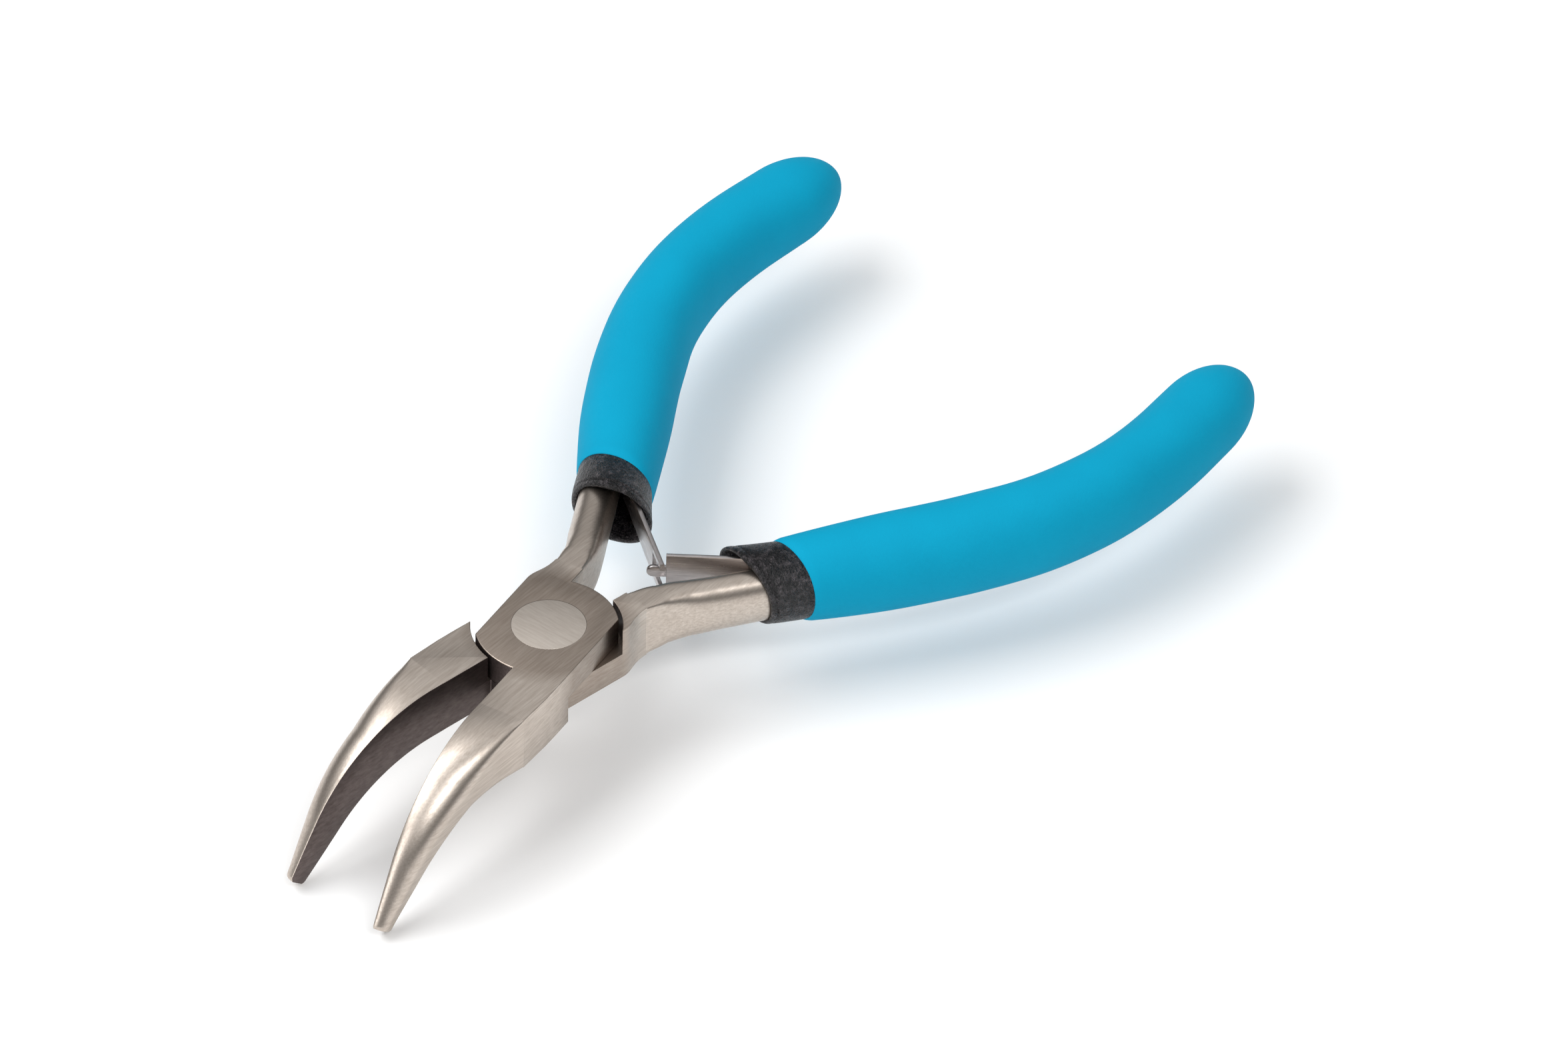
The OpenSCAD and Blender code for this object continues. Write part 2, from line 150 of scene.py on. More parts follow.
# Leaf springs and their rivets
LEAF_T = 0.5
LEAF_W = 4.6
FORK_W = 4.2
FORK_ROOT_W = 3.2
LEAF_ANGLE = 23
LEAF_BEND_S = 3.1
LEAF_STAGGER = 1.6
TAIL_GAP = 0.3
TAIL_START = LEAF_T / 2 + 0.3
TAIL_LEN = 4.8
TAIL_W = 3.4
TAIL_Z = MID_Z - 0.4
LEAF_Z = MID_Z + 0.1
TONGUE_W = 1.4
TONGUE_REACH = 1.3
SLOT_PLAY = 0.9
SLOT_BACK = 1.7
FORK_REACH = 1.5
SHOULDER_BACK = LEAF_T / 2 + 0.55
PIN_S = 3.2

# ---- Curves and sections ---------------------------------------------------------------------


def mix(a, b, t):
    """Straight blend from a to b as t goes from 0 to 1, held at both ends."""
    return a + (b - a) * min(1, max(0, t))


def ease(t):
    t = min(1, max(0, t))
    return t * t * (3 - 2 * t)


def along(s, pairs):
    """Straight blend in a list of [station, value] pairs."""
    for (s0, v0), (s1, v1) in zip(pairs, pairs[1:]):
        if s < s1:
            return mix(v0, v1, (s - s0) / (s1 - s0))
    return pairs[-1][1]


def smooth_along(s, pairs, reach=1.5):
    """The same, averaged over a short stretch so that it has no corners."""
    steps = 6
    values = [along(s + reach * (2 * k / steps - 1), pairs) for k in range(steps + 1)]
    return sum(values) / len(values)


def spread(start, end, count):
    return [start + (end - start) * k / (count - 1) for k in range(count)]


def heading(angle):
    return Vector((math.cos(math.radians(angle)), math.sin(math.radians(angle))))


def arc_end(p, r, a0, a1):
    """Where an arc from p ends, as its heading turns from a0 to a1."""
    a0, a1 = math.radians(a0), math.radians(a1)
    return p + r * Vector((math.sin(a1) - math.sin(a0), math.cos(a0) - math.cos(a1)))


NECK_END = arc_end(NECK, NECK_R, 0, SPLAY)
PALM_START = NECK_END + STRAIGHT_LEN * heading(SPLAY)
PALM_END = arc_end(PALM_START, -PALM_R, SPLAY, SPLAY - PALM_TURN)


def path_angle(s):
    """Heading of the handle's path: neck curve, straight stretch, palm curve, straight end."""
    if s < NECK_LEN:
        return SPLAY * s / NECK_LEN
    if s < PALM_S:
        return SPLAY
    if s < END_S:
        return SPLAY - PALM_TURN * (s - PALM_S) / PALM_LEN
    return SPLAY - PALM_TURN


def path_point(s):
    if s < NECK_LEN:
        return arc_end(NECK, NECK_R, 0, path_angle(s))
    if s < PALM_S:
        return NECK_END + (s - NECK_LEN) * heading(SPLAY)
    if s < END_S:
        return arc_end(PALM_START, -PALM_R, SPLAY, path_angle(s))
    return PALM_END + (s - END_S) * heading(SPLAY - PALM_TURN)


def beside(s, d):
    """Point beside the path; positive is the outer side."""
    return path_point(s) + d * heading(path_angle(s) + 90)


# How far the handle's middle has dropped below the head's middle, as [station, drop]
DROOP = [[0, 0], [5, 0.05], [20, 0.9], [45, 1.25], [PATH_LEN, 1.45]]


def oval(s, shift, a, b, squareness=2, n=64, lean=0, under=0):
    """Oval ring round the handle's path, on the CAD's rule but with its droop smoothed."""
    ring = []
    for i in range(n):
        t = (i + 0.5) * TAU / n
        c, d = math.cos(t), math.sin(t)
        u = a * math.copysign(abs(c) ** (2 / squareness), c)
        v = b * math.copysign(abs(d) ** (2 / squareness), d)
        p = beside(s + lean * c + under * (1 - d), shift + u)
        ring.append(Vector((p.x, p.y, MID_Z - smooth_along(s, DROOP) + v)))
    return ring


# ---- Meshes ----------------------------------------------------------------------------------

# Edges that turn by more than this many degrees are drawn sharp
STEEL_CREASE = 32
SOFT_CREASE = 60


def opened(side):
    """The move from the closed position in millimetres to the open position in metres."""
    turn = Matrix.Rotation(math.radians(side * HALF_OPEN), 4, "Z")
    return turn @ Matrix.Diagonal((MM, side * MM, MM, 1))


def skin(rings):
    """A closed mesh through rings that all have the same number of points."""
    bm = bmesh.new()
    rows = [[bm.verts.new(p) for p in ring] for ring in rings]
    n = len(rings[0])
    for a, b in zip(rows, rows[1:]):
        for i in range(n):
            j = (i + 1) % n
            bm.faces.new((a[i], b[i], b[j], a[j]))
    bm.faces.new(rows[0])
    bm.faces.new(list(reversed(rows[-1])))
    bmesh.ops.recalc_face_normals(bm, faces=bm.faces)
    return bm


def prism(outline, z0, z1):
    """A closed prism on a 2-D outline."""
    bm = bmesh.new()
    low = [bm.verts.new((x, y, z0)) for x, y in outline]
    high = [bm.verts.new((x, y, z1)) for x, y in outline]
    bm.faces.new(list(reversed(low)))
    bm.faces.new(high)
    for i in range(len(outline)):
        j = (i + 1) % len(outline)
        bm.faces.new((low[i], low[j], high[j], high[i]))
    bmesh.ops.recalc_face_normals(bm, faces=bm.faces)
    return bm


def bevel_edges(bm, wanted, width):
    edges = [e for e in bm.edges if wanted(e)]
    bmesh.ops.bevel(bm, geom=edges, offset=width, offset_type="OFFSET", segments=3,
                    profile=0.5, affect="EDGES", clamp_overlap=True)


def finish_mesh(bm, name, side, crease=STEEL_CREASE):
    """Turns a closed-position mesh in millimetres into an object in the shared frame. Side 0 is a
    piece on the centre line, which stays where it is."""
    bm.transform(opened(side) if side else Matrix.Scale(MM, 4))
    if side < 0:
        bmesh.ops.reverse_faces(bm, faces=bm.faces)
    mesh = bpy.data.meshes.new(name)
    bm.to_mesh(mesh)
    bm.free()
    mesh.shade_smooth()
    mesh.set_sharp_from_angle(angle=math.radians(crease))
    made = bpy.data.objects.new(name, mesh)
    bpy.context.scene.collection.objects.link(made)
    return made


def merged(*parts):
    """One bmesh from several closed ones."""
    whole = bmesh.new()
    for part in parts:
        kept = bpy.data.meshes.new("part")
        part.to_mesh(kept)
        part.free()
        whole.from_mesh(kept)
        bpy.data.meshes.remove(kept)
    return whole


# ---- Jaw -------------------------------------------------------------------------------------

JAW_WIDTHS = [[-LEAD_IN, 5.4], [0, 5.15], [2.5, 4.8], [6, 4.3], [12, 3.4], [JAW_LEN, TIP_W]]
JAW_TAPER = 1.7
RELIEF_START = 8
RELIEF_LEN = 28

# How much of the section is rounded: next to nothing at the block, growing over the rounding's
# length to one share above and another below
BLOCK_ROUND = 0.05
UPPER_ROUND = 0.86
UNDER_ROUND = 0.62
ROUNDING_LEN = 9
CORNER_STEPS = 18
FACE_EDGE = 0.1

# The tip's rounding, as [distance back from the tip, size of the section there]
TIP_ROUND = [[0.04, 0.72], [0.09, 0.84], [0.19, 0.93], [0.32, 0.98]]


def jaw_line(s):
    """The jaw's middle line as distance from the pivot, height, and angle below level. S is
    measured from the start of the bend, and is negative on the level stretch before it."""
    if s < 0:
        return BEND_X + s, MID_Z, 0.0
    if s < BEND_LEN:
        a = s / BEND_R
        return BEND_X + BEND_R * math.sin(a), MID_Z - BEND_R * (1 - math.cos(a)), a
    a = math.radians(BEND_ANGLE)
    d = s - BEND_LEN
    return (BEND_X + BEND_R * math.sin(a) + d * math.cos(a),
            MID_Z - BEND_R * (1 - math.cos(a)) - d * math.sin(a), a)


def jaw_half_h(s):
    return MID_Z - (MID_Z - TIP_H / 2) * (max(0, s) / JAW_LEN) ** JAW_TAPER


def jaw_relief(x):
    return mix(FACE_RELIEF, TIP_RELIEF, (x - RELIEF_START) / RELIEF_LEN)


def jaw_corner(w, h, k):
    """Quarter outline from the top edge round to the outer side, rounded over the share k."""
    turns = [math.pi / 2 * (1 - i / CORNER_STEPS) for i in range(CORNER_STEPS + 1)]
    return [(w * (1 - k + k * math.cos(t)), h * (1 - k + k * math.sin(t))) for t in turns]


def jaw_ring(s, grow=1.0):
    """One D-shaped section: flat on the gripping side, with its outer corners rounded."""
    x, z, a = jaw_line(s)
    h = jaw_half_h(s) * grow
    w = (smooth_along(s, JAW_WIDTHS) if s > 0.5 else along(s, JAW_WIDTHS)) * grow
    relief = jaw_relief(x)
    edge = FACE_EDGE * grow
    cut = edge * 0.3
    top = jaw_corner(w, h, mix(BLOCK_ROUND, UPPER_ROUND, (s + LEAD_IN) / ROUNDING_LEN))
    under = jaw_corner(w, h, mix(BLOCK_ROUND, UNDER_ROUND, (s + LEAD_IN) / ROUNDING_LEN))
    section = ([(0, h - edge), (cut, h - cut), (edge, h)] + top
               + [(u, -v) for u, v in reversed(under)]
               + [(edge, -h), (cut, -h + cut), (0, -h + edge)])
    return [Vector((-x - v * math.sin(a), -relief - u, z + v * math.cos(a))) for u, v in section]


def jaw():
    rings = [jaw_ring(JAW_LEN - back, grow) for back, grow in TIP_ROUND]
    rings += [jaw_ring(s) for s in spread(JAW_LEN - 0.5, 0.5, 70)]
    rings += [jaw_ring(s) for s in (0.2, 0, -0.5, -1, -LEAD_IN)]
    return skin(rings)


# ---- Head ------------------------------------------------------------------------------------


def arc(r, a0, a1, count):
    """Points on a circle round the pivot."""
    return [(r * math.cos(math.radians(a)), r * math.sin(math.radians(a)))
            for a in spread(a0, a1, count)]


def angle_at_y(r, y):
    return math.degrees(math.asin(y / r))


JAW_EDGE = [(-BLOCK_X, -jaw_relief(BLOCK_X)), (-BLOCK_X, -jaw_relief(BLOCK_X) - JAW_WIDTHS[0][1]),
            (-10.5, -SIDE_Y + 0.05), (-8, -SIDE_Y)]
NECK_IN = 1.5
NECK_END_X = 9.6
NECK_EDGE = [(NECK_END_X, NECK_IN), (NECK_END_X, 4.85), (9, 4.9), (8.4, 5), (7.8, 5.17),
             (7.2, 5.4), (6.7, 5.61), (6.3, 5.76), (5.9, 5.86), (5.5, SIDE_Y)]

# Bevels of the outer edges, and the tests that pick those edges
LAP_BEVEL = 0.12
SHOULDER_BEVEL = 0.13
CLOSE = 0.01
LEVEL = 1e-6
CORNER_ANGLE = 25

# The seam round the rivet's head, the play round its shank, and the depth of the head's seat
RIVET_SEAM = 0.015
SHANK_PLAY = 0.06
SEAT_DEPTH = RIVET_HEAD_T + 0.1


def lap_outline():
    back_low = -angle_at_y(LAP_BACK, SIDE_Y)
    front_top = 180 - angle_at_y(LAP_FRONT, SIDE_Y)
    return (arc(LAP_BACK, back_low, angle_at_y(LAP_BACK, NECK_IN), 48) + NECK_EDGE
            + arc(LAP_FRONT, front_top, 180 + angle_at_y(LAP_FRONT, FACE_RELIEF), 40) + JAW_EDGE)


def jaw_shoulder_outline():
    r = LAP_FRONT + SHOULDER_GAP
    top, low = 180 + angle_at_y(r, FACE_RELIEF), 180 + angle_at_y(r, SIDE_Y)
    return JAW_EDGE + list(reversed(arc(r, top, low, 32)))


def neck_shoulder_outline():
    r = LAP_BACK + SHOULDER_GAP
    return NECK_EDGE + list(reversed(arc(r, angle_at_y(r, NECK_IN), angle_at_y(r, SIDE_Y), 28)))


def slab(outline, z0, z1, outer_z, bevel):
    """A slab of the head with its outer edges eased, but not where the jaw or handle joins it."""
    bm = prism(outline, z0, z1)

    def joins(v):
        return v.co.x < -BLOCK_X + CLOSE or v.co.x > NECK_END_X - CLOSE

    def wanted(e):
        a, b = e.verts
        if joins(a) and joins(b):
            return False
        if abs(a.co.z - b.co.z) < LEVEL:
            return abs(a.co.z - outer_z) < LEVEL
        return e.calc_face_angle(0) > math.radians(CORNER_ANGLE)

    bevel_edges(bm, wanted, bevel)
    return bm


def disc_cutter(r, z0, z1, n=128):
    bm = prism(arc(r, 0, 360 * (n - 1) / n, n), z0, z1)
    return finish_mesh(bm, "cutter", 0)


def cut_holes(piece, cutters):
    """Cuts round holes with the Boolean modifier and keeps the result as a plain mesh."""
    for cutter in cutters:
        modifier = piece.modifiers.new("hole", "BOOLEAN")
        modifier.object = cutter
        modifier.operation = "DIFFERENCE"
        modifier.solver = "EXACT"
    bpy.context.view_layer.update()
    solid = piece.evaluated_get(bpy.context.evaluated_depsgraph_get())
    mesh = bpy.data.meshes.new_from_object(solid)
    piece.modifiers.clear()
    piece.data = mesh
    for cutter in cutters:
        bpy.data.objects.remove(cutter)


# ---- Steel core of the handle ----------------------------------------------------------------

CORE_START = 0.4
CORE_SEEN = 26
CORE_SHIFT = [[0, 0], [8, TANG_SHIFT], [25, TANG_SHIFT], [31, 0], [PATH_LEN, 0]]
CORE_A = [[0, 1.6], [1.5, 1.68], [8, TANG_A], [25, TANG_A], [31, 2.2], [PATH_LEN, 2]]
CORE_B = [[0, MID_Z], [5, MID_Z - 0.05], [MOUTH_S, MID_Z - 0.15], [28, 2.9], [PATH_LEN, 2.6]]
CORE_SQUARE = [[0, 24], [1.5, 10], [4, 4], [7, 2.6], [10, 2.25], [PATH_LEN, 2.2]]


def core():
    """The tang as far as the inside of the sleeve; the rest of the core is never seen."""
    return skin([oval(s, smooth_along(s, CORE_SHIFT, 1), smooth_along(s, CORE_A, 1),
                      smooth_along(s, CORE_B, 1), along(s, CORE_SQUARE))
                 for s in spread(CORE_START, CORE_SEEN, 64)])


# ---- Materials -------------------------------------------------------------------------------


def srgb(r, g, b):
    """Linear colour from screen values of 0 to 255."""
    def line(v):
        v /= 255
        return v / 12.92 if v <= 0.04045 else ((v + 0.055) / 1.055) ** 2.4
    return (line(r), line(g), line(b), 1)


class Look:
    """A node material, with a method for each kind of node that the looks below use."""

    def __init__(self, name, roughness, metallic=0.0):
        self.material = bpy.data.materials.new(name)
        self.material.use_nodes = True
        self.tree = self.material.node_tree
        self.shader = self.tree.nodes["Principled BSDF"]
        self.shader.inputs["Roughness"].default_value = roughness
        self.shader.inputs["Metallic"].default_value = metallic
        self.place = self.add("ShaderNodeTexCoord").outputs["Object"]

    def add(self, kind, **settings):
        node = self.tree.nodes.new(kind)
        for key, value in settings.items():
            if key in node.inputs:
                node.inputs[key].default_value = value
            else:
                setattr(node, key, value)
        return node

    def link(self, a, b):
        self.tree.links.new(a, b)

    def stretched(self, scale, turn=0.0):
        """The object's own coordinates, scaled by axis and turned about Z."""
        m = self.add("ShaderNodeMapping")
        m.inputs["Scale"].default_value = scale
        m.inputs["Rotation"].default_value = (0, 0, math.radians(turn))
        self.link(self.place, m.inputs["Vector"])
        return m.outputs["Vector"]

    def noise(self, vector, scale, detail=4.0, roughness=0.55):
        n = self.add("ShaderNodeTexNoise", Scale=scale, Detail=detail, Roughness=roughness)
        self.link(vector, n.inputs["Vector"])
        return n.outputs["Fac"]

    def ramp(self, fac, stops):
        r = self.add("ShaderNodeValToRGB")
        self.link(fac, r.inputs["Fac"])
        while len(r.color_ramp.elements) < len(stops):
            r.color_ramp.elements.new(0.5)
        for element, (at, colour) in zip(r.color_ramp.elements, stops):
            element.position = at
            element.color = colour
        return r.outputs["Color"]

    def blend(self, fac, a, b, mode="MIX"):
        """A colour mix; each of fac, a and b is a value or another node's output."""
        m = self.add("ShaderNodeMix", data_type="RGBA", blend_type=mode)
        fac_in, a_in, b_in, colour_out = m.inputs[0], m.inputs[6], m.inputs[7], m.outputs[2]
        for value, socket in ((fac, fac_in), (a, a_in), (b, b_in)):
            if hasattr(value, "is_linked"):
                self.link(value, socket)
            else:
                socket.default_value = value
        return colour_out

    def span(self, fac, low, high):
        """Maps 0 to 1 onto low to high."""
        m = self.add("ShaderNodeMapRange")
        self.link(fac, m.inputs["Value"])
        m.inputs["To Min"].default_value = low
        m.inputs["To Max"].default_value = high
        return m.outputs["Result"]

    def bump(self, height, strength, distance, under=None):
        b = self.add("ShaderNodeBump", Strength=strength, Distance=distance)
        self.link(height, b.inputs["Height"])
        if under is not None:
            self.link(under, b.inputs["Normal"])
        return b.outputs["Normal"]

    def use(self, **sockets):
        for name, output in sockets.items():
            self.link(output, self.shader.inputs[name.replace("_", " ")])


def steel_look(name, dark, light, rough, streaks, turn=0.0, lap=None):
    """Brushed steel; where lap is given, painted shade multiplies the metal round the pivot by that
    tone.
    """
    look = Look(name, rough, 1.0)
    lines = look.noise(look.stretched(streaks, turn), 1.0, 6, 0.65)
    cloud = look.noise(look.place, 260, 3)
    tone = look.ramp(lines, [(0.3, dark), (0.7, light)])
    tone = look.blend(look.span(cloud, 0.0, 0.4), tone, dark)
    if lap:
        # Painted shade: the metal near the pivot is darkened by the lap tone, fading out about 10
        # mm from it
        near = look.add("ShaderNodeTexGradient", gradient_type="SPHERICAL")
        look.link(look.stretched((100, 100, 0)), near.inputs["Vector"])
        ring = look.ramp(near.outputs["Fac"], [(0.03, (0, 0, 0, 1)), (0.24, (1, 1, 1, 1))])
        tone = look.blend(ring, tone, lap, "MULTIPLY")
    look.use(Base_Color=tone, Roughness=look.span(lines, rough + 0.08, rough - 0.06))
    fine = look.bump(lines, 0.14, 0.00003)
    look.use(Normal=look.bump(cloud, 0.07, 0.0001, fine))
    return look.material


# Each steel has a dark and a light tone, a roughness, and its brushing's fineness along X, Y, Z
# Tone of the painted shade round the pivot on the ground steel
PIVOT_SHADE_TONE = (0.68, 0.65, 0.63, 1)
GROUND = steel_look("ground_steel", srgb(178, 166, 155), srgb(214, 204, 194), 0.34,
                    (300, 4600, 4600), lap=PIVOT_SHADE_TONE)
# The unground finish of the gripping faces, which is also used as painted shade inside the lap
# joint
UNGROUND_STEEL_AND_SHADE = steel_look("unground_steel_and_painted_shade", srgb(92, 82, 80), srgb(122, 111, 108), 0.46,
                        (900, 2600, 2600))
RIVET_STEEL = steel_look("rivet_steel", srgb(196, 186, 176), srgb(222, 213, 203), 0.4,
                         (4200, 420, 4200), 25)
SPRING_STEEL = steel_look("spring_steel", srgb(160, 156, 156), srgb(200, 195, 194), 0.28,
                          (400, 400, 5200))


def vinyl_look():
    """Black vinyl with a leather-like grain: warped cells, with fine crumbs over them; the grey
    flecks in its colour are painted glints off the grain.
    """
    look = Look("sleeve_vinyl", 0.4)
    grain = look.add("ShaderNodeTexVoronoi", Scale=2500.0, feature="DISTANCE_TO_EDGE")
    warp = look.noise(look.place, 1400, 3, 0.6)
    bent = look.add("ShaderNodeVectorMath", operation="MULTIPLY_ADD")
    look.link(warp, bent.inputs[0])
    bent.inputs[1].default_value = (0.6 * MM,) * 3
    look.link(look.place, bent.inputs[2])
    look.link(bent.outputs[0], grain.inputs["Vector"])
    cells = look.ramp(grain.outputs["Distance"], [(0.0, (0, 0, 0, 1)), (0.3, (1, 1, 1, 1))])
    crumbs_and_glints = look.noise(look.place, 1500, 6, 0.7)
    # Painted glints: grey flecks in the colour stand in for light caught on the grain
    painted_glints = look.ramp(crumbs_and_glints, [(0.48, srgb(14, 12, 15)), (0.68, srgb(116, 109, 113))])
    look.use(Base_Color=look.blend(0.45, painted_glints, srgb(20, 18, 21)),
             Roughness=look.span(crumbs_and_glints, 0.42, 0.16))
    rough = look.bump(crumbs_and_glints, 1.0, 0.0006)
    look.use(Normal=look.bump(cells, 0.8, 0.0002, rough))
    return look.material


def foam_look():
    """Matt sky-blue foam with fine pores."""
    look = Look("grip_foam", 0.8)
    soft = look.noise(look.place, 120, 2)
    pores = look.noise(look.place, 5200, 3, 0.6)
    look.use(Base_Color=look.blend(look.span(soft, 0, 1), srgb(0, 147, 184), srgb(0, 158, 195)))
    look.use(Normal=look.bump(pores, 0.35, 0.0001))
    look.shader.inputs["Specular IOR Level"].default_value = 0.14
    return look.material


VINYL = vinyl_look()
FOAM = foam_look()

# ---- The steel halves ------------------------------------------------------------------------

# A gripping face looks this squarely across the closing plane, as a cosine, and lies this close
# to it. The inside of the lap joint, painted dark as shade, is what is upright within the seat's
# radius, height and width
SQUARELY = 0.9
FACE_DEPTH = 0.3
UPRIGHT = 0.5
SEAT_R = LAP_FRONT + SHOULDER_GAP + 0.1
SEAT_HALF_H = MID_Z - 0.2
SEAT_HALF_W = SIDE_Y - 0.05


def dress_steel(piece, side):
    """Ground steel all over, the darker unground finish on the faces that look across the
    closing plane, and the same dark steel as painted shade on the inside of the lap joint."""
    mesh = piece.data
    mesh.materials.clear()
    mesh.materials.append(GROUND)
    mesh.materials.append(UNGROUND_STEEL_AND_SHADE)
    facing = Matrix.Rotation(math.radians(side * HALF_OPEN), 3, "Z") @ Vector((0, side, 0))
    to_closed = opened(side).inverted()
    for polygon in mesh.polygons:
        c = to_closed @ polygon.center
        gripping = polygon.normal.dot(facing) > SQUARELY and -FACE_DEPTH < c.y < 0
        # Painted shade: the upright walls inside the lap joint get the dark steel as the shadow in
        # the gap between the halves
        seat = (abs(polygon.normal.z) < UPRIGHT and math.hypot(c.x, c.y) < SEAT_R
                and abs(c.z - MID_Z) < SEAT_HALF_H and abs(c.y) < SEAT_HALF_W)
        polygon.material_index = 1 if gripping or seat else 0


def make_half(name, side, lap_up, body, node):
    """One half's steel: jaw, shoulders and tang in one piece, and the lap with the rivet's hole as
    a second piece on the same body."""
    lap_t = MID_Z - LAP_CLEAR / 2
    lap_z = (HEAD_T - lap_t, HEAD_T) if lap_up else (0, lap_t)
    shoulder_z = (0, HEAD_T - lap_t) if lap_up else (lap_t, HEAD_T)
    lap_outer, shoulder_outer = (HEAD_T, 0) if lap_up else (0, HEAD_T)
    whole = merged(jaw(), core(),
                   slab(jaw_shoulder_outline(), *shoulder_z, shoulder_outer, SHOULDER_BEVEL),
                   slab(neck_shoulder_outline(), *shoulder_z, shoulder_outer, SHOULDER_BEVEL))
    lap = slab(lap_outline(), *lap_z, lap_outer, LAP_BEVEL)
    steel_piece = finish_mesh(whole, name, side)
    lap_piece = finish_mesh(lap, name + "_lap", side)
    seat = disc_cutter(RIVET_R + RIVET_SEAM, lap_outer - SEAT_DEPTH, lap_outer + SEAT_DEPTH)
    bore = disc_cutter(SHANK_R + SHANK_PLAY, -1, HEAD_T + 1)
    cut_holes(lap_piece, [seat, bore])
    lap_piece.data.set_sharp_from_angle(angle=math.radians(STEEL_CREASE))
    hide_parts(node)
    for piece in (steel_piece, lap_piece):
        dress_steel(piece, side)
        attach(piece, body)


# ---- Pivot rivet -----------------------------------------------------------------------------

RIVET_EDGE = 0.03


def turned(profile, n=128):
    """A solid of revolution about Z from a list of [radius, height] points."""
    rings = [[Vector((r * math.cos(TAU * i / n), r * math.sin(TAU * i / n), z)) for i in range(n)]
             for r, z in profile]
    return skin(rings)


def make_rivet():
    """A head and a thinner shank, and the same again turned over."""
    lower = [(RIVET_R - 2 * RIVET_EDGE, 0), (RIVET_R - 0.6 * RIVET_EDGE, 0.3 * RIVET_EDGE),
             (RIVET_R, RIVET_EDGE), (RIVET_R, RIVET_HEAD_T), (SHANK_R, RIVET_HEAD_T)]
    profile = lower + [(r, HEAD_T - z) for r, z in reversed(lower)]
    piece = finish_mesh(turned(profile), "pivot_rivet_turned", 0)
    piece.data.materials.append(RIVET_STEEL)
    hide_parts("pivot_rivet")
    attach(piece, "upper")


# ---- Leaf springs ----------------------------------------------------------------------------

TAIL_SHIFT = TANG_SHIFT - TANG_A - TAIL_GAP - LEAF_T / 2
BLADE_ANGLE = SPLAY + HALF_OPEN + LEAF_ANGLE
LEAF_EDGE = 0.12
OVERLAP = 0.05
TONGUE_TIP_W = 0.26

# Distance each side of the bend over which the strip turns and changes from the tail's width to the
# blade's
TURN = 0.7

# Rivet of the tail, as [radius, height], with the domed head first
PIN_PROFILE = [[0.05, -0.75], [0.7, -0.74], [1.15, -0.66], [1.42, -0.5], [1.5, -0.3],
               [1.46, -0.25], [0.8, -0.25], [0.8, 2.4]]


def hinge_s(side):
    return MOUTH_S + LEAF_BEND_S + side * LEAF_STAGGER


def hinge(side):
    return beside(hinge_s(side), TAIL_SHIFT)


def open_hinge(side):
    """The bend in the open position, with the lower spring mirrored onto the upper side."""
    return Matrix.Rotation(math.radians(HALF_OPEN), 2) @ hinge(side)


def blade_len(side):
    """Length of a blade from its bend to where the two blades cross."""
    a = math.radians(BLADE_ANGLE)
    total = (open_hinge(1).y + open_hinge(-1).y) / math.sin(a)
    difference = (open_hinge(1).x - open_hinge(-1).x) / math.cos(a)
    return (total + side * difference) / 2


def leaf_ring(p, across, z, w):
    """Rounded-edge section of the strip: its thickness lies along across, its width along Z."""
    t, h, r = LEAF_T / 2, w / 2, LEAF_EDGE
    cut = r * 0.3
    outline = [(-t, -h + r), (-t + cut, -h + cut), (-t + r, -h),
               (t - r, -h), (t - cut, -h + cut), (t, -h + r),
               (t, h - r), (t - cut, h - cut), (t - r, h),
               (-t + r, h), (-t + cut, h - cut), (-t, h - r)]
    return [Vector((p.x + u * across.x, p.y + u * across.y, z + v)) for u, v in outline]


def leaf_path(side):
    """Points down the strip from the tail's end round the bend, as (point, across, distance past
    the bend). The bend and the blade's own two directions come with them."""
    h = hinge(side)
    tail_dir, blade_dir = heading(SPLAY), heading(SPLAY + LEAF_ANGLE + 180)
    tail_across, blade_across = heading(SPLAY + 90), heading(SPLAY + LEAF_ANGLE + 90)
    tail_end = TAIL_START + TAIL_LEN
    path = [(h + d * tail_dir, tail_across, -d) for d in spread(tail_end, TURN, 8)]
    for k in range(1, 6):
        t = k / 6
        p = h + tail_dir * TURN * (1 - t) ** 2 + blade_dir * TURN * t ** 2
        path.append((p, tail_across.lerp(blade_across, t).normalized(), 2 * TURN * t - TURN))
    return path, h, blade_dir, blade_across


def prong(h, blade_dir, across, start, reach, way):
    """One prong of the fork, above the slot or below it as way is 1 or -1."""
    slot_h = TONGUE_W + SLOT_PLAY
    rings = []
    for d in spread(start, reach, 5):
        outer = mix(FORK_ROOT_W, FORK_W, d / reach) / 2
        w = outer - slot_h / 2
        z = LEAF_Z + way * (outer + slot_h / 2) / 2
        rings.append(leaf_ring(h + d * blade_dir, across, z, w))
    return skin(rings)


def tongue(h, blade_dir, across, start, reach):
    """The tongue, with a round end."""
    r = TONGUE_W / 2
    stations = spread(start, reach - r, 5)
    stations += [reach - r * (1 - math.sin(math.radians(a))) for a in (20, 40, 58, 72, 83)]
    rings = []
    for d in stations:
        over = max(0, d - (reach - r)) / r
        w = TONGUE_W * math.sqrt(max(0, 1 - over * over))
        rings.append(leaf_ring(h + d * blade_dir, across, LEAF_Z, max(w, TONGUE_TIP_W)))
    return skin(rings)


